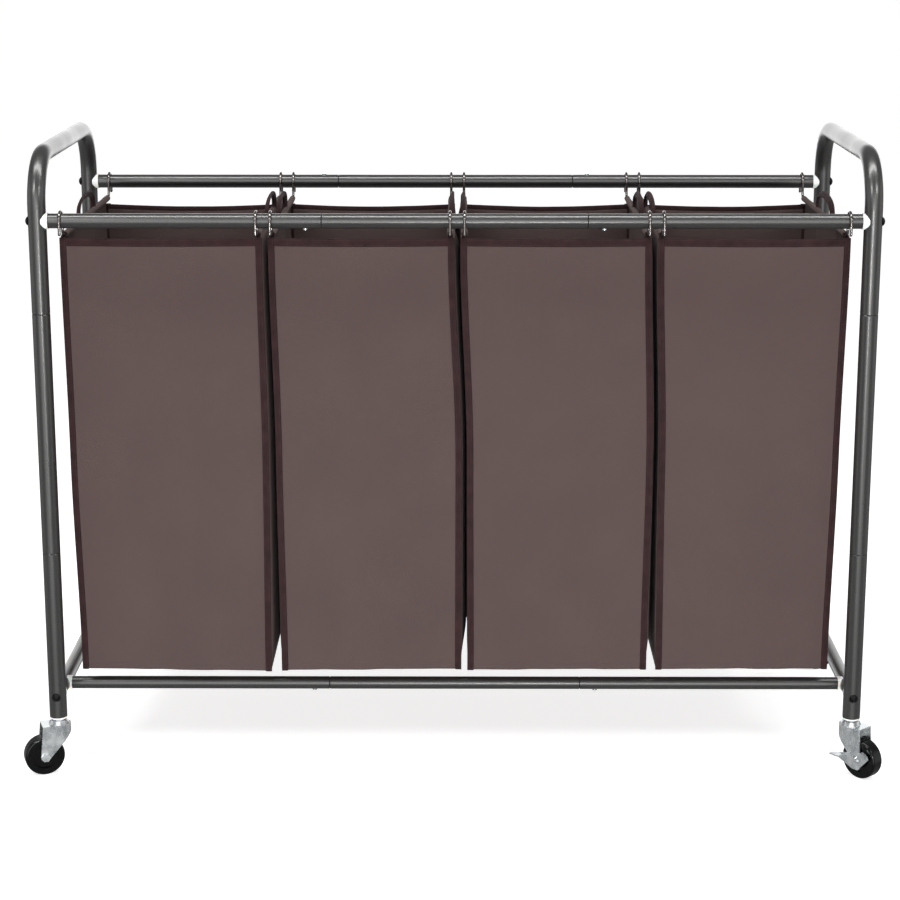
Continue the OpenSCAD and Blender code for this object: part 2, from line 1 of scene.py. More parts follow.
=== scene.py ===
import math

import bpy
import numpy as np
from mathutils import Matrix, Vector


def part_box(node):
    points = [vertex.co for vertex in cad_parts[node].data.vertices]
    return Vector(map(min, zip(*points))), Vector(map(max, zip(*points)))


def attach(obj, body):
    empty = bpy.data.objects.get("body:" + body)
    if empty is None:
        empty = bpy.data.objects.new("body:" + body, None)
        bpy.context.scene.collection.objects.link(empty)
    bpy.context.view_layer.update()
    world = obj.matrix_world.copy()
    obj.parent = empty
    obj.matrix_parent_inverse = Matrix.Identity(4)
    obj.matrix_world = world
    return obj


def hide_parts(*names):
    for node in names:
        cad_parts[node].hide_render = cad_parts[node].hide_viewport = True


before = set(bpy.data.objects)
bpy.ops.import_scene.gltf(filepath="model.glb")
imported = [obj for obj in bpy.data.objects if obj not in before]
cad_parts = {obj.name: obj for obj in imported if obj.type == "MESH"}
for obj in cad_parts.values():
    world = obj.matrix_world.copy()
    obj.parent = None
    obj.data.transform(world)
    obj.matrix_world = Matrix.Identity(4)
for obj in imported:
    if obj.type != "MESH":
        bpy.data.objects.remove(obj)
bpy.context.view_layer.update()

# A rolling laundry sorter. The frame, casters and hook wires are the CAD nodes with new finishes.
# The fabric bags, their bindings, sleeves and carry straps are surfaces worked out here.
# Lengths are in metres, in the CAD's own frame: X along the bars, Y to the back, Z up.

MM = 0.001


# ---------------------------------------------------------------- mesh helpers

def make_object(name, points, faces, uv=None, across=None):
    """A mesh object from arrays: points is (n, 3), faces is (m, 4), uv is (m, 4, 2), one pair for
    each corner of each face, and across is one number a point, kept as an attribute."""
    mesh = bpy.data.meshes.new(name)
    mesh.vertices.add(len(points))
    mesh.vertices.foreach_set("co", np.asarray(points, np.float32).ravel())
    mesh.loops.add(faces.size)
    mesh.loops.foreach_set("vertex_index", faces.astype(np.int32).ravel())
    mesh.polygons.add(len(faces))
    mesh.polygons.foreach_set("loop_start", np.arange(0, faces.size, 4, dtype=np.int32))
    mesh.polygons.foreach_set("use_smooth", np.full(len(faces), True))
    if uv is not None:
        layer = mesh.uv_layers.new(name="cloth")
        layer.data.foreach_set("uv", np.asarray(uv, np.float32).ravel())
    if across is not None:
        place = mesh.attributes.new("across", "FLOAT", "POINT")
        place.data.foreach_set("value", np.asarray(across, np.float32).ravel())
    mesh.update(calc_edges=True)
    mesh.validate()
    piece = bpy.data.objects.new(name, mesh)
    bpy.context.scene.collection.objects.link(piece)
    return piece


def grid_faces(rows, columns, wrap_rows=False, wrap_columns=False):
    """Quads of a rows x columns grid of points numbered row by row, closed on itself where asked."""
    r = np.arange(rows if wrap_rows else rows - 1)
    c = np.arange(columns if wrap_columns else columns - 1)
    r, c = np.meshgrid(r, c, indexing="ij")
    r1, c1 = (r + 1) % rows, (c + 1) % columns
    quads = np.stack([r * columns + c, r * columns + c1, r1 * columns + c1, r1 * columns + c], -1)
    return quads.reshape(-1, 4)


def grid_uv(u, v):
    """Corner UVs for the quads of grid_faces, from u and v given at (rows + wrap, columns + wrap)."""
    uv = np.stack([u, v], -1)
    corners = [uv[:-1, :-1], uv[:-1, 1:], uv[1:, 1:], uv[1:, :-1]]
    return np.stack(corners, 2).reshape(-1, 4, 2)


def unit(v):
    return v / np.maximum(np.linalg.norm(v, axis=-1, keepdims=True), 1e-12)


def along(path):
    """Distance along a path of points."""
    return np.concatenate([[0], np.cumsum(np.linalg.norm(np.diff(path, axis=0), axis=1))])


AROUND = 24
CAP_RINGS = np.array([0.0, 0.55, 0.9])


def swept(name, path, across, half_a, half_b, power):
    """A closed strip or tape: a superellipse carried along a path. across gives the direction of
    its width at every point, half_a and half_b are half its width and half its thickness there,
    and each point is centre + a*sgn(cos)|cos|^(2/power) across + b*sgn(sin)|sin|^(2/power) normal.
    The ends close on flat caps. UV: metres along the path, and metres round the section. The
    attribute across runs from -1 to 1 over the width."""
    path = np.asarray(path, float)
    tangent = unit(np.gradient(path, axis=0))
    across = unit(across - (across * tangent).sum(1, keepdims=True) * tangent)
    normal = np.cross(tangent, across)
    turn = np.linspace(0, 2 * np.pi, AROUND, endpoint=False)
    c, s = np.cos(turn), np.sin(turn)
    ex = np.sign(c) * np.abs(c) ** (2 / power)
    ey = np.sign(s) * np.abs(s) ** (2 / power)
    a = np.broadcast_to(half_a, len(path))[:, None, None]
    b = np.broadcast_to(half_b, len(path))[:, None, None]
    rings = (path[:, None] + a * ex[None, :, None] * across[:, None]
             + b * ey[None, :, None] * normal[:, None])
    start = path[0] + (rings[0] - path[0]) * CAP_RINGS[:, None, None]
    end = path[-1] + (rings[-1] - path[-1]) * CAP_RINGS[::-1, None, None]
    grid = np.concatenate([start, rings, end])
    d = along(path)
    u = np.concatenate([d[0] - (1 - CAP_RINGS) * MM, d, d[-1] + (1 - CAP_RINGS[::-1]) * MM])
    round_it = np.linspace(0, 1, AROUND + 1) * 4 * float(np.mean(half_a))
    u, v = np.meshgrid(u, round_it, indexing="ij")
    faces = grid_faces(len(grid), AROUND, wrap_columns=True)
    place = np.broadcast_to(ex, (len(grid), AROUND))
    return make_object(name, grid.reshape(-1, 3), faces[:, ::-1], grid_uv(u, v)[:, ::-1], place)


def ease(t):
    """A smooth step from 0 to 1."""
    t = np.clip(t, 0, 1)
    return t * t * (3 - 2 * t)


# ---------------------------------------------------------------- materials

def linear(hex_colour):
    """An sRGB hex colour as linear RGBA."""
    c = np.array([int(hex_colour[i:i + 2], 16) for i in (1, 3, 5)]) / 255
    c = np.where(c <= 0.04045, c / 12.92, ((c + 0.055) / 1.055) ** 2.4)
    return (*c.tolist(), 1.0)


def add(tree, kind, inputs=None, **settings):
    """A node with its settings, and its inputs: a socket is linked, anything else is a value."""
    made = tree.nodes.new(kind)
    for key, value in settings.items():
        setattr(made, key, value)
    for key, value in (inputs or {}).items():
        if isinstance(value, bpy.types.NodeSocket):
            tree.links.new(value, made.inputs[key])
        else:
            made.inputs[key].default_value = value
    return made


def ramp(tree, fac, low, high, a, b):
    """A colour ramp from colour a at low to colour b at high."""
    made = add(tree, "ShaderNodeValToRGB", {"Fac": fac})
    first, last = made.color_ramp.elements
    first.position, first.color = low, a
    last.position, last.color = high, b
    return made.outputs["Color"]


def grey(tree, fac, low, high, a, b):
    """Maps fac from low..high to the numbers a..b."""
    made = add(tree, "ShaderNodeMapRange", {"Value": fac, "From Min": low, "From Max": high,
                                            "To Min": a, "To Max": b})
    return made.outputs["Result"]


def new_material(name, **values):
    """A material, its tree, and its Principled shader with uniform values on its own sockets."""
    material = bpy.data.materials.new(name)
    material.use_nodes = True
    tree = material.node_tree
    shader = tree.nodes["Principled BSDF"]
    for key, value in values.items():
        shader.inputs[key.replace("_", " ")].default_value = value
    return material, tree, shader


def object_space(tree):
    return add(tree, "ShaderNodeTexCoord").outputs["Object"]


def calc(tree, operation, a, b=0.0):
    """The result of a Math node."""
    return add(tree, "ShaderNodeMath", {0: a, 1: b}, operation=operation).outputs[0]


def noise(tree, space, size_mm, detail=3.0, rough=0.5):
    """Noise whose features are about size_mm across."""
    made = add(tree, "ShaderNodeTexNoise", {"Vector": space, "Scale": 1 / (size_mm * MM),
                                            "Detail": detail, "Roughness": rough})
    return made.outputs["Fac"]


def bump(tree, height, depth_mm, strength=1.0, under=None):
    inputs = {"Height": height, "Distance": depth_mm * MM, "Strength": strength}
    if under is not None:
        inputs["Normal"] = under
    return add(tree, "ShaderNodeBump", inputs).outputs["Normal"]


def powder_coated_steel():
    """Steel tube under a semi-gloss metallic charcoal powder coat: long soft highlights along the
    tube, a faint orange peel, and fine metallic flecks."""
    material, tree, shader = new_material("powder_coated_steel", Metallic=0.8, Coat_Weight=0.2,
                                          Coat_Roughness=0.18)
    space = object_space(tree)
    flecks = noise(tree, space, 0.8, 1.0)
    cloud = noise(tree, space, 60.0, 2.0)
    base = ramp(tree, flecks, 0.35, 0.7, linear("#505050"), linear("#605f5e"))
    tree.links.new(base, shader.inputs["Base Color"])
    tree.links.new(grey(tree, cloud, 0.3, 0.7, 0.27, 0.35), shader.inputs["Roughness"])
    peel = noise(tree, space, 2.2, 2.0)
    tree.links.new(bump(tree, peel, 0.05, 0.5), shader.inputs["Normal"])
    return material


def moulded_nylon():
    """Natural injection-moulded nylon: milky white, slightly see-through, faint moulding grain."""
    material, tree, shader = new_material("moulded_nylon", Roughness=0.42,
                                          Subsurface_Weight=0.15, Subsurface_Scale=0.004)
    space = object_space(tree)
    base = ramp(tree, noise(tree, space, 6.0), 0.3, 0.7, linear("#efeee9"), linear("#f8f7f3"))
    tree.links.new(base, shader.inputs["Base Color"])
    tree.links.new(bump(tree, noise(tree, space, 0.7), 0.03, 0.5), shader.inputs["Normal"])
    return material


def black_oxide_steel():
    """Bolt heads blackened by an oxide bath: near black, a soft sheen, slightly uneven."""
    material, tree, shader = new_material("black_oxide_steel", Metallic=0.8)
    space = object_space(tree)
    cloud = noise(tree, space, 3.0)
    base = ramp(tree, cloud, 0.3, 0.7, linear("#161617"), linear("#232324"))
    tree.links.new(base, shader.inputs["Base Color"])
    tree.links.new(grey(tree, cloud, 0.3, 0.7, 0.28, 0.42), shader.inputs["Roughness"])
    return material


def zinc_plated_steel():
    """Pressed steel with a bright zinc plating: silvery with a cool cast, cloudy patches and
    a faint unevenness from the press."""
    material, tree, shader = new_material("zinc_plated_steel", Metallic=0.9)
    space = object_space(tree)
    cloud = noise(tree, space, 12.0, 1.5)
    base = ramp(tree, cloud, 0.3, 0.7, linear("#cdd3d6"), linear("#eff2f3"))
    tree.links.new(base, shader.inputs["Base Color"])
    tree.links.new(grey(tree, cloud, 0.25, 0.75, 0.18, 0.34), shader.inputs["Roughness"])
    dents = noise(tree, space, 7.0, 0.5)
    tree.links.new(bump(tree, dents, 0.05, 0.3), shader.inputs["Normal"])
    return material


def glossy_black_plastic():
    """Wheels moulded in hard black polypropylene: deep black, a sharp gloss, and a fine haze of
    scuffs that lifts the roughness here and there."""
    material, tree, shader = new_material("glossy_black_plastic", Specular_IOR_Level=0.35)
    space = object_space(tree)
    scuffs = noise(tree, space, 4.0, 5.0, 0.65)
    base = ramp(tree, scuffs, 0.45, 0.8, linear("#050506"), linear("#0e0e10"))
    tree.links.new(base, shader.inputs["Base Color"])
    tree.links.new(grey(tree, scuffs, 0.4, 0.8, 0.08, 0.2), shader.inputs["Roughness"])
    return material


def black_nickel_wire():
    """Hook wire plated in bright black nickel: a dark mirror, with a slightly lumpy film."""
    material, tree, shader = new_material("black_nickel_wire", Metallic=1.0, Roughness=0.2)
    space = object_space(tree)
    lumps = noise(tree, space, 3.0, 2.0)
    base = ramp(tree, lumps, 0.3, 0.7, linear("#736f6d"), linear("#8a8684"))
    tree.links.new(base, shader.inputs["Base Color"])
    tree.links.new(bump(tree, lumps, 0.12, 0.4), shader.inputs["Normal"])
    return material


def weave(tree, uv, thread_mm):
    """The height of a plain weave, with threads thread_mm apart: half the sum of a ridge for each
    thread, |sin(u + pi/4)| + |sin(v + pi/4)|, plus half of sin(u) sin(v), whose sign alternates
    from crossing to crossing as the threads pass over each other."""
    turn = math.pi / (thread_mm * MM)
    split = add(tree, "ShaderNodeSeparateXYZ", {"Vector": uv})
    u = calc(tree, "MULTIPLY", split.outputs["X"], turn)
    v = calc(tree, "MULTIPLY", split.outputs["Y"], turn)
    over = calc(tree, "MULTIPLY", calc(tree, "SINE", u), calc(tree, "SINE", v))
    warp = calc(tree, "ABSOLUTE", calc(tree, "SINE", calc(tree, "ADD", u, math.pi / 4)))
    weft = calc(tree, "ABSOLUTE", calc(tree, "SINE", calc(tree, "ADD", v, math.pi / 4)))
    yarns = calc(tree, "MULTIPLY", calc(tree, "ADD", warp, weft), 0.5)
    return calc(tree, "ADD", yarns, calc(tree, "MULTIPLY", over, 0.5))


def oxford_polyester():
    """Bag cloth: taupe 600-denier oxford polyester in a plain weave, with a matt face, a faint sheen
    at grazing angles, slubs in the yarn and slow creases. The real threads are 0.5 mm apart; they are
    drawn 1.2 mm apart, the finest that shows at this size. The weave's height is also painted into
    the colour, as painted shade in the hollows between threads and a painted highlight on their
    crowns."""
    material, tree, shader = new_material("oxford_polyester", Roughness=0.85, Sheen_Weight=0.03,
                                          Sheen_Roughness=0.5, Specular_IOR_Level=0.15)
    uv = add(tree, "ShaderNodeUVMap", uv_map="cloth").outputs["UV"]
    threads = weave(tree, uv, 1.2)
    space = object_space(tree)
    slub_space = add(tree, "ShaderNodeMapping", {"Vector": uv, "Scale": (0.12, 1.0, 1.0)})
    slubs = noise(tree, slub_space.outputs["Vector"], 1.6, 2.0)
    cloud = noise(tree, space, 90.0, 3.0)
    tone = add(tree, "ShaderNodeMix", {"Factor": 0.35, 2: cloud, 3: slubs}, data_type="FLOAT")
    base = ramp(tree, tone.outputs[0], 0.3, 0.7, linear("#504341"), linear("#554745"))
    # Painted shade in the hollows between threads and a painted highlight on their crowns: the colour
    # follows the weave's height.
    shade = grey(tree, threads, 0.0, 1.2, 0.86, 1.05)
    lit = add(tree, "ShaderNodeVectorMath", {0: base, 1: shade}, operation="MULTIPLY")
    tree.links.new(lit.outputs["Vector"], shader.inputs["Base Color"])
    creases = bump(tree, noise(tree, space, 45.0, 2.0), 1.0, 0.18)
    tree.links.new(bump(tree, threads, 0.25, 0.6, creases), shader.inputs["Normal"])
    return material


STITCH = 3 * MM


def binding_tape():
    """Dark brown grosgrain tape, folded over the bags' edges and sewn into their straps: fine ribs,
    and a row of stitches near each edge, 3 mm a stitch, that pull the tape in. The ribs' height is
    also painted into the colour, as painted shade in their hollows and a painted highlight on their
    crowns."""
    material, tree, shader = new_material("binding_tape", Roughness=0.8, Sheen_Weight=0.04,
                                          Sheen_Roughness=0.4, Specular_IOR_Level=0.2)
    uv = add(tree, "ShaderNodeUVMap", uv_map="cloth").outputs["UV"]
    threads = weave(tree, uv, 0.9)
    tone = noise(tree, object_space(tree), 14.0, 3.0)
    run = add(tree, "ShaderNodeSeparateXYZ", {"Vector": uv}).outputs["X"]
    across = add(tree, "ShaderNodeAttribute", attribute_name="across").outputs["Fac"]
    beside = calc(tree, "ABSOLUTE", calc(tree, "SUBTRACT", calc(tree, "ABSOLUTE", across), 0.6))
    row = grey(tree, beside, 0.07, 0.13, 1.0, 0.0)
    wave = calc(tree, "SINE", calc(tree, "MULTIPLY", run, 2 * math.pi / STITCH))
    dash = grey(tree, wave, -0.6, -0.2, 0.0, 1.0)
    stitch = calc(tree, "MULTIPLY", row, dash)
    base = ramp(tree, tone, 0.3, 0.7, linear("#2a181a"), linear("#352122"))
    # Painted shade in the ribs' hollows and a painted highlight on their crowns, from the weave's
    # height.
    rib_painted_shade = grey(tree, threads, 0.0, 1.2, 0.75, 1.1)
    shade = calc(tree, "ADD", rib_painted_shade, calc(tree, "MULTIPLY", stitch, 0.5))
    lit = add(tree, "ShaderNodeVectorMath", {0: base, 1: shade}, operation="MULTIPLY")
    tree.links.new(lit.outputs["Vector"], shader.inputs["Base Color"])
    seam = calc(tree, "SUBTRACT", stitch, calc(tree, "MULTIPLY", row, 0.8))
    dent = bump(tree, seam, 0.4, 0.6)
    tree.links.new(bump(tree, threads, 0.3, 0.7, dent), shader.inputs["Normal"])
    return material


PAINT = powder_coated_steel()
NYLON = moulded_nylon()
BLACK_STEEL = black_oxide_steel()
ZINC = zinc_plated_steel()
BLACK_PLASTIC = glossy_black_plastic()
WIRE = black_nickel_wire()
OXFORD = oxford_polyester()
TAPE = binding_tape()


def finish_for(node):
    """The finish of each CAD node, by what the node is."""
    if node.startswith("caster_wheel"):
        return BLACK_PLASTIC
    if node.startswith(("caster_fork", "caster_axle", "caster_stems", "brake", "bar_screws")):
        return ZINC
    if node.endswith("spacers") or node in ("threaded_inserts", "caster_sockets"):
        return NYLON
    if node == "frame_bolts":
        return BLACK_STEEL
    if node.endswith("rods"):
        return WIRE
    return PAINT


for node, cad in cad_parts.items():
    cad.data.materials.clear()
    cad.data.materials.append(finish_for(node))


# ---------------------------------------------------------------- bags

BAGS = (1, 2, 3, 4)
SIDES = ("left", "right")
WIRE_D = 3.6 * MM
FABRIC_T = 1.0 * MM
HEM_W = 10 * MM
BACK_HEM_W = 6 * MM
HEM_T = 2.2 * MM
BINDING_W = 8 * MM
BINDING_T = 2.4 * MM
# How far each bag's left and right sides hang to the right of straight, in mm: halfway down,
# and at the floor.
LEAN_MIDDLE = {1: (2.5, 3.5), 2: (5, 9.5), 3: (8.5, 6.5), 4: (7, -3.5)}
LEAN_FLOOR = {1: (7, 2), 2: (7.5, 9), 3: (9.5, 4), 4: (8.5, -7)}
# How far the ends of each bag's floor hang below straight, in mm.
FLOOR_DROP = {1: (0, -3), 2: (-2, 0), 3: (-1, 0), 4: (0, 1)}
# The front hem's distance below the sleeves' tops, and that of the side panels' tops.
HEM_BELOW_SLEEVE = 8 * MM
SIDE_BELOW_SLEEVE = 4 * MM
# The share of a side panel's depth over which its top slopes down to the hems.
CORNER_SLOPE = 0.035
# How much lower the back hem hangs than the front one.
BACK_DROP = 6 * MM
# How far the hems and the floor sag in their middles.
SAG_BACK = 3 * MM
SAG_FRONT = 1.5 * MM
FLOOR_SAG = 1.5 * MM
# How far the front and back panels stand inside the CAD box, and how much more at the floor.
PANEL_INSET = 0.6 * MM
PANEL_LEAN = 2 * MM
# What is left between a bag's side and the middle of the gap to its neighbour.
NEAR = 0.7 * MM
END_SWELL = 5 * MM
SHARED_WAVE = 3.5 * MM
# The part of a side panel that stays flat: half its share of the depth, and its share of the height.
STRAP_HALF_DEPTH = 0.25
STRAP_FOOT = 0.09


def bag_frame(i):
    """The CAD box of a bag's fabric, and where its two rods lie in X."""
    lo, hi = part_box(f"bag_{i}_fabric")
    rod_lo, rod_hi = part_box(f"bag_{i}_rods")
    return dict(left=lo.x, right=hi.x, front=lo.y, back=hi.y, floor=lo.z, sleeve_top=hi.z,
                rod_left=rod_lo.x + WIRE_D / 2, rod_right=rod_hi.x - WIRE_D / 2)


def side_edge(i, which, v):
    """Where a bag's left or right side stands, at its front and back edges, v of the way down."""
    k = SIDES.index(which)
    middle, low = LEAN_MIDDLE[i][k], LEAN_FLOOR[i][k]
    lean = middle * ease(2 * v) + (low - middle) * ease(2 * v - 1)
    return bag_frame(i)[which] + lean * MM


def side_belly(i, which, depth, v):
    """How far to the right a bag's side panel stands from its straight edges, depth of the way from
    front to back. The end sides swell 5 mm. Sides that face each other swell until they almost
    meet, and run together in one slow wave. Nothing moves at the hem, the floor or the edges, nor
    where the carry straps are sewn on."""
    left, right = (i - 1, i) if which == "left" else (i, i + 1)
    out = 1 if which == "right" else -1
    under_straps = STRAP_FOOT * ease((STRAP_HALF_DEPTH - np.abs(depth - 0.5)) / 0.06)
    fade = ease((v - under_straps) / 0.05) * ease((1 - v) / 0.075)
    swell = out * END_SWELL * np.sin(np.pi * depth) ** 0.5
    if left in BAGS and right in BAGS:
        room = (side_edge(right, "left", v) - side_edge(left, "right", v)) / 2 - NEAR
        swell = out * room * np.sin(np.pi * depth) ** 0.35
        swell = swell + SHARED_WAVE * np.sin(2 * np.pi * depth)
    return swell * fade


def folds(i, side, t, v):
    """How far slow folds push a front or back panel inwards: three sines that run down the panel
    on a slant, largest in its middle."""
    phase = 1.7 * i + 2.1 * side
    wide = 0.9 * np.sin(2 * np.pi * (1.5 * t + 0.6 * v) + phase)
    middling = 0.6 * np.sin(2 * np.pi * (3.2 * t - 0.8 * v) + 2.3 * phase)
    narrow = 0.35 * np.sin(2 * np.pi * (6.1 * t + 0.5 * v) + 0.7 * phase)
    return (wide + middling + narrow) * MM * np.sin(np.pi * t)


def bag_point(i, side, t, v):
    """A point of a bag's wall. side is 0 front, 1 right, 2 back and 3 left, t runs along it from
    0 to 1 seen from outside, left to right, and v runs from 0 at the hem to 1 at the floor. The
    sides lean and swell, the back hem hangs lower than the sides and sags between them, and slow
    folds of sines run down the panels."""
    b = bag_frame(i)
    left, right = side_edge(i, "left", v), side_edge(i, "right", v)
    inset = PANEL_INSET + PANEL_LEAN * ease(v) * v
    front, back = b["front"] + inset, b["back"] - inset
    arch = np.sin(np.pi * t)
    hem = b["sleeve_top"] - HEM_BELOW_SLEEVE
    if side == 0:
        x = left + (right - left) * t
        y = front + folds(i, side, t, v) * (0.4 + 0.6 * v) + 2.5 * MM * arch * (1 - v) ** 3
        top = hem - SAG_FRONT * arch
    elif side == 2:
        x = right + (left - right) * t
        y = back - folds(i, side, t, v) * (0.6 + 0.4 * v) - 3 * MM * arch * (1 - v) ** 3
        top = hem - BACK_DROP - SAG_BACK * arch
    else:
        which, depth = ("right", t) if side == 1 else ("left", 1 - t)
        x = side_edge(i, which, v) + side_belly(i, which, depth, v)
        y = front + (back - front) * depth
        at_corners = 1 - ease(np.minimum(t, 1 - t) / CORNER_SLOPE)
        at_back = 1 - ease((1 - depth) / CORNER_SLOPE)
        top = (b["sleeve_top"] - SIDE_BELOW_SLEEVE
               - (HEM_BELOW_SLEEVE - SIDE_BELOW_SLEEVE) * at_corners - BACK_DROP * at_back)
    share = (x - b["left"]) / (b["right"] - b["left"])
    drop = (FLOOR_DROP[i][0] * (1 - share) + FLOOR_DROP[i][1] * share) * MM
    bottom = b["floor"] + FABRIC_T + drop
    z = top + (bottom - top) * v
    return np.stack(np.broadcast_arrays(x, y, z), -1)


ACROSS_FRONT, ACROSS_SIDE, DOWN = 40, 56, 64


def bag_shell(i):
    """A bag's cloth: one closed run of four walls from hem to floor, and the floor, a grid whose
    border is the walls' last row. The floor's height sags towards its middle."""
    counts = (ACROSS_FRONT, ACROSS_SIDE, ACROSS_FRONT, ACROSS_SIDE)
    v = np.linspace(0, 1, DOWN + 1)[:, None]
    walls = [bag_point(i, side, np.arange(n)[None, :] / n, v) for side, n in enumerate(counts)]
    walls = np.concatenate(walls, 1)
    columns = walls.shape[1]
    lengths = np.linalg.norm(np.roll(walls[0], -1, 0) - walls[0], axis=1)
    u = np.concatenate([[0], np.cumsum(lengths)])
    down = walls[0, 0, 2] - walls[:, 0, 2]
    u, down = np.meshgrid(u, down, indexing="xy")
    wall_faces = grid_faces(DOWN + 1, columns, wrap_columns=True)[:, ::-1]
    wall_uv = grid_uv(u, down)[:, ::-1]
    rim = walls[-1]
    ring = DOWN * columns + np.arange(columns)
    a, s = ACROSS_FRONT, ACROSS_SIDE
    index = np.full((s + 1, a + 1), -1)
    index[0, :a] = ring[:a]
    index[:s, a] = ring[a:a + s]
    index[s, 1:] = ring[a + s:a + s + a][::-1]
    index[1:, 0] = ring[a + s + a:][::-1]
    tx, ty = np.meshgrid(np.arange(a + 1) / a, np.arange(s + 1) / s)
    front_left, front_right, back_right, back_left = rim[[0, a, a + s, 2 * a + s]]
    floor = (((1 - tx) * (1 - ty))[..., None] * front_left + (tx * (1 - ty))[..., None] * front_right
             + (tx * ty)[..., None] * back_right + ((1 - tx) * ty)[..., None] * back_left)
    floor[..., 2] -= FLOOR_SAG * np.sin(np.pi * tx) * np.sin(np.pi * ty)
    inner = index < 0
    index[inner] = len(walls.reshape(-1, 3)) + np.arange(inner.sum())
    points = np.concatenate([walls.reshape(-1, 3), floor[inner]])
    quads = np.stack([index[:-1, :-1], index[:-1, 1:], index[1:, 1:], index[1:, :-1]], -1)
    floor_uv = grid_uv(floor[..., 0], floor[..., 1])
    faces = np.concatenate([wall_faces, quads.reshape(-1, 4)[:, ::-1]])
    uv = np.concatenate([wall_uv, floor_uv[:, ::-1]])
    shell = make_object(f"bag_{i}_cloth", points, faces, uv)
    wall = shell.modifiers.new("double cloth", "SOLIDIFY")
    wall.thickness = FABRIC_T
    wall.offset = 0
    shell.data.materials.append(OXFORD)
    return shell


# Each upright edge: the side whose panel it borders, its place along that side, and which way in
# X the panel lies from it.
CORNERS = {"fl": (0, 0.0, 1), "fr": (0, 1.0, -1), "br": (2, 0.0, -1), "bl": (2, 1.0, 1)}


def edge_binding(i, corner):
    """The tape over a bag's upright edge: a flat loop carried down the corner of the walls."""
    v = np.linspace(0, 1, 60)
    side, t, inward = CORNERS[corner]
    path = bag_point(i, side, t, v)
    path[:, 0] += inward * (BINDING_W / 2 - 1.2 * MM)
    path[:, 1] += (-1 if side == 0 else 1) * 0.6 * MM
    path[0, 2] += 1.5 * MM
    path[-1, 2] -= 0.8 * MM
    tape = swept(f"bag_{i}_binding_{corner}", path, np.broadcast_to([1.0, 0, 0], path.shape),
                 BINDING_W / 2, BINDING_T / 2, 3.0)
    tape.data.materials.append(TAPE)
    return tape


def hem_binding(i, side):
    """The tape folded over a bag's front or back hem."""
    t = np.linspace(0.005, 0.995, 70)
    path = bag_point(i, side, t, np.zeros_like(t))
    place, width = ("front", HEM_W) if side == 0 else ("back", BACK_HEM_W)
    path[:, 2] -= width / 2 - 1 * MM
    tape = swept(f"bag_{i}_hem_{place}", path, np.broadcast_to([0, 0, 1.0], path.shape),
                 width / 2, HEM_T / 2, 3.2)
    tape.data.materials.append(TAPE)
    return tape


SLEEVE_OUTER = 3.9 * MM
SLEEVE_INNER = 2.3 * MM
SLEEVE_SHORT = 20 * MM
SLEEVE_RINGS, SLEEVE_AROUND = 90, 28


def rod_sleeve(i, which):
    """The fold of cloth that holds a rod: a ring section carried from front to back, whose outside
    ripples a little and is slightly flattened."""
    b = bag_frame(i)
    length = b["back"] - b["front"] - SLEEVE_SHORT
    y = np.linspace(-length / 2, length / 2, SLEEVE_RINGS)
    turn = np.linspace(0, 2 * np.pi, SLEEVE_AROUND, endpoint=False)
    ripple = 0.18 * MM * np.sin(y / 0.021 + i) + 0.12 * MM * np.sin(y / 0.0083 + 2 * i)

    def rings(radius, flat):
        """One ring of points for each y, as x, y and z."""
        x = b["rod_" + which] + radius[:, None] * np.cos(turn)
        z = b["sleeve_top"] - SIDE_BELOW_SLEEVE + radius[:, None] * np.sin(turn) * flat
        return np.stack([x, np.broadcast_to(y[:, None], x.shape), z], -1)

    outside = rings(SLEEVE_OUTER + ripple, 0.99)
    inside = rings(np.full_like(y, SLEEVE_INNER), 1.0)
    grid = np.concatenate([outside, inside[::-1]])
    faces = grid_faces(len(grid), SLEEVE_AROUND, wrap_rows=True, wrap_columns=True)
    run = np.concatenate([y, y[::-1], y[:1]])
    u, v = np.meshgrid(run, np.linspace(0, 25 * MM, SLEEVE_AROUND + 1), indexing="ij")
    sleeve = make_object(f"bag_{i}_sleeve_{which}", grid.reshape(-1, 3), faces, grid_uv(u, v))
    sleeve.data.materials.append(OXFORD)
    return sleeve


# Half of a strap's span from end to end, and the share of its length that each upright end takes.
STRAP_HALF_SPAN = 55 * MM
STRAP_RISE = 0.36
# From the side of the straps' CAD box to the middle of the webbing.
STRAP_INSET = 1.25 * MM
WEBBING_HALF_W, WEBBING_HALF_T = 10 * MM, 1.15 * MM
GRIP_HALF_W, GRIP_HALF_T = 4.2 * MM, 2.1 * MM


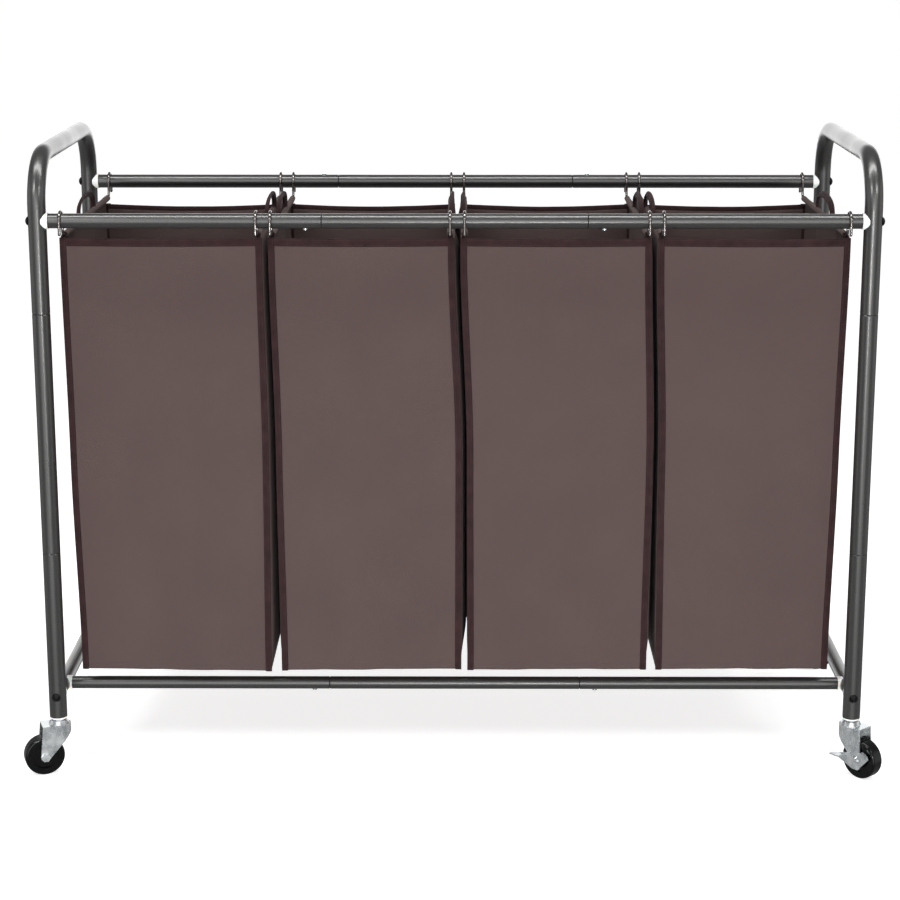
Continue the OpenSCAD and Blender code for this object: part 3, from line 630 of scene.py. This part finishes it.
def carry_strap(i, which):
    """A carry strap: webbing sewn flat on the outside of a side panel, whose middle is folded to
    a narrower, thicker grip that stands up in an arch over the sleeve."""
    lo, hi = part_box(f"bag_{i}_straps")
    b = bag_frame(i)
    out = -1 if which == "left" else 1
    wall_x = lo.x + STRAP_INSET if which == "left" else hi.x - STRAP_INSET
    crown_x = b["rod_" + which] + out * 1.5 * MM
    foot = lo.z
    shoulder = b["sleeve_top"] + 1 * MM
    crown = hi.z - 5.5 * MM
    t = np.linspace(0, 1, 90)
    up = np.clip(t / STRAP_RISE, 0, 1)
    over = np.clip((t - STRAP_RISE) / (1 - 2 * STRAP_RISE), 0, 1)
    down = np.clip((t - 1 + STRAP_RISE) / STRAP_RISE, 0, 1)
    climbed = np.minimum(up, 1 - down)
    y = -STRAP_HALF_SPAN * np.cos(np.pi * over)
    z = foot + (shoulder - foot) * climbed + (crown - shoulder) * np.sin(np.pi * over) ** 0.6
    lift = ease((climbed - 0.75) / 0.25)
    x = wall_x + (crown_x - wall_x) * lift
    path = np.stack([x, y, z], -1)
    tangent = unit(np.gradient(path, axis=0))
    flat = np.cross(np.broadcast_to([1.0, 0, 0], path.shape), tangent)
    tilt = (0.5 * lift)[:, None]
    across = flat * np.cos(tilt) + np.array([1.0, 0, 0]) * np.sin(tilt)
    half_a = WEBBING_HALF_W + (GRIP_HALF_W - WEBBING_HALF_W) * lift
    half_b = WEBBING_HALF_T + (GRIP_HALF_T - WEBBING_HALF_T) * lift
    strap = swept(f"bag_{i}_strap_{which}", path, across, half_a, half_b, 3.0)
    strap.data.materials.append(TAPE)
    return strap


for i in BAGS:
    body = f"bag_{i}"
    cloth = bag_shell(i)
    trims = [edge_binding(i, corner) for corner in CORNERS]
    trims += [hem_binding(i, side) for side in (0, 2)]
    sleeves = [rod_sleeve(i, which) for which in SIDES]
    straps = [carry_strap(i, which) for which in SIDES]
    for piece in [cloth, *trims, *sleeves]:
        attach(piece, body)
    for strap in straps:
        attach(strap, body)
    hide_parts(f"bag_{i}_fabric")
    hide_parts(f"bag_{i}_straps")


# ---------------------------------------------------------------- studio

WHITE = linear("#ffffff")
FLOOR_HALF = 40
FLOOR_LINES = 41


def floor():
    """A plain white light table: pale paper lit a little from below, so that shadows stay faint."""
    side = np.linspace(-FLOOR_HALF, FLOOR_HALF, FLOOR_LINES)
    x, y = np.meshgrid(side, side)
    grid = np.stack([x, y, np.zeros_like(x)], -1)
    table = make_object("floor", grid.reshape(-1, 3), grid_faces(FLOOR_LINES, FLOOR_LINES))
    table.visible_glossy = False
    material, tree, shader = new_material("light_table_paper", Roughness=0.9, Emission_Strength=0.66)
    cloud = noise(tree, object_space(tree), 900.0)
    tone = ramp(tree, cloud, 0.3, 0.7, linear("#f6f6f6"), linear("#fafafa"))
    tree.links.new(tone, shader.inputs["Base Color"])
    shader.inputs["Emission Color"].default_value = WHITE
    table.data.materials.append(material)


def softbox(name, place, target, width, height, power):
    """A rectangular white softbox at place, facing target."""
    lamp = bpy.data.lights.new(name, "AREA")
    lamp.shape = "RECTANGLE"
    lamp.size = width
    lamp.size_y = height
    lamp.energy = power
    holder = bpy.data.objects.new(name, lamp)
    bpy.context.scene.collection.objects.link(holder)
    holder.location = place
    aim = np.array(target) - np.array(place)
    holder.rotation_euler = Vector(aim).to_track_quat("-Z", "Y").to_euler()
    holder.visible_camera = False


ROOM_GLOW, PANEL_GLOW, SIDE_GLOW = 0.25, 1.8, 0.5


def surroundings():
    """A dim room with a large bright panel low down in front and another behind, and a weaker one at
    each side: the brightness is a floor value, plus a smooth window in height times a smooth window
    in direction. What the camera sees past the floor is white."""
    world = bpy.data.worlds.new("studio")
    bpy.context.scene.world = world
    world.use_nodes = True
    tree = world.node_tree
    tree.nodes.clear()
    view = add(tree, "ShaderNodeTexCoord").outputs["Generated"]
    split = add(tree, "ShaderNodeSeparateXYZ", {"Vector": view})

    def window(value, low, high, a, b):
        """Eases from a to b while value goes from low to high."""
        inputs = {"Value": value, "From Min": low, "From Max": high, "To Min": a, "To Max": b}
        made = add(tree, "ShaderNodeMapRange", inputs, interpolation_type="SMOOTHSTEP")
        return made.outputs["Result"]

    low_down = calc(tree, "MULTIPLY", window(split.outputs["Z"], -0.4, -0.15, 0.0, 1.0),
                    window(split.outputs["Z"], 0.3, 0.6, 1.0, 0.0))
    ahead = calc(tree, "ADD", window(split.outputs["Y"], -0.97, -0.80, PANEL_GLOW, 0.0),
                 window(split.outputs["Y"], 0.80, 0.97, 0.0, PANEL_GLOW))
    beside = window(calc(tree, "ABSOLUTE", split.outputs["X"]), 0.85, 0.97, 0.0, SIDE_GLOW)
    panels = calc(tree, "MULTIPLY", low_down, calc(tree, "ADD", ahead, beside))
    glow = calc(tree, "ADD", ROOM_GLOW, panels)
    seen = add(tree, "ShaderNodeLightPath").outputs["Is Camera Ray"]
    room = add(tree, "ShaderNodeBackground", {"Strength": glow})
    white = add(tree, "ShaderNodeBackground", {"Strength": 1.0})
    for shader in (room, white):
        shader.inputs["Color"].default_value = WHITE
    both = add(tree, "ShaderNodeMixShader", {0: seen, 1: room.outputs[0], 2: white.outputs[0]})
    add(tree, "ShaderNodeOutputWorld", {"Surface": both.outputs[0]})


def studio():
    """The light table, the room, and softboxes overhead, whose reflections run along the bars."""
    floor()
    surroundings()
    softbox("overhead", (0, -0.5, 2.6), (0, 0, 0.4), 3.2, 0.35, 45)
    softbox("front_left", (-1.4, -2.2, 2.2), (0, 0, 0.4), 0.7, 0.7, 20)
    softbox("front_right", (1.6, -2.0, 2.0), (0, 0, 0.4), 0.5, 0.5, 12)
    softbox("front_low", (0.1, -2.4, 0.3), (0, 0, 0.45), 0.16, 0.24, 7)
    bpy.context.scene.view_settings.view_transform = "Standard"


CAMERA_PLACE = (0.0058, -2.7577, 1.079)
CAMERA_DOWN, CAMERA_LEFT = 0.23, 0.0045
SENSOR_MM, LENS_MM, LENS_SHIFT = 36, 86.58, -0.05


def camera():
    """The camera stands in front and above, and looks down on the sorter."""
    lens = bpy.data.cameras.new("camera")
    holder = bpy.data.objects.new("camera", lens)
    bpy.context.scene.collection.objects.link(holder)
    bpy.context.scene.camera = holder
    lens.sensor_width = SENSOR_MM
    lens.lens = LENS_MM
    lens.shift_y = LENS_SHIFT
    holder.location = CAMERA_PLACE
    holder.rotation_euler = (math.pi / 2 - CAMERA_DOWN, 0, CAMERA_LEFT)


studio()
camera()
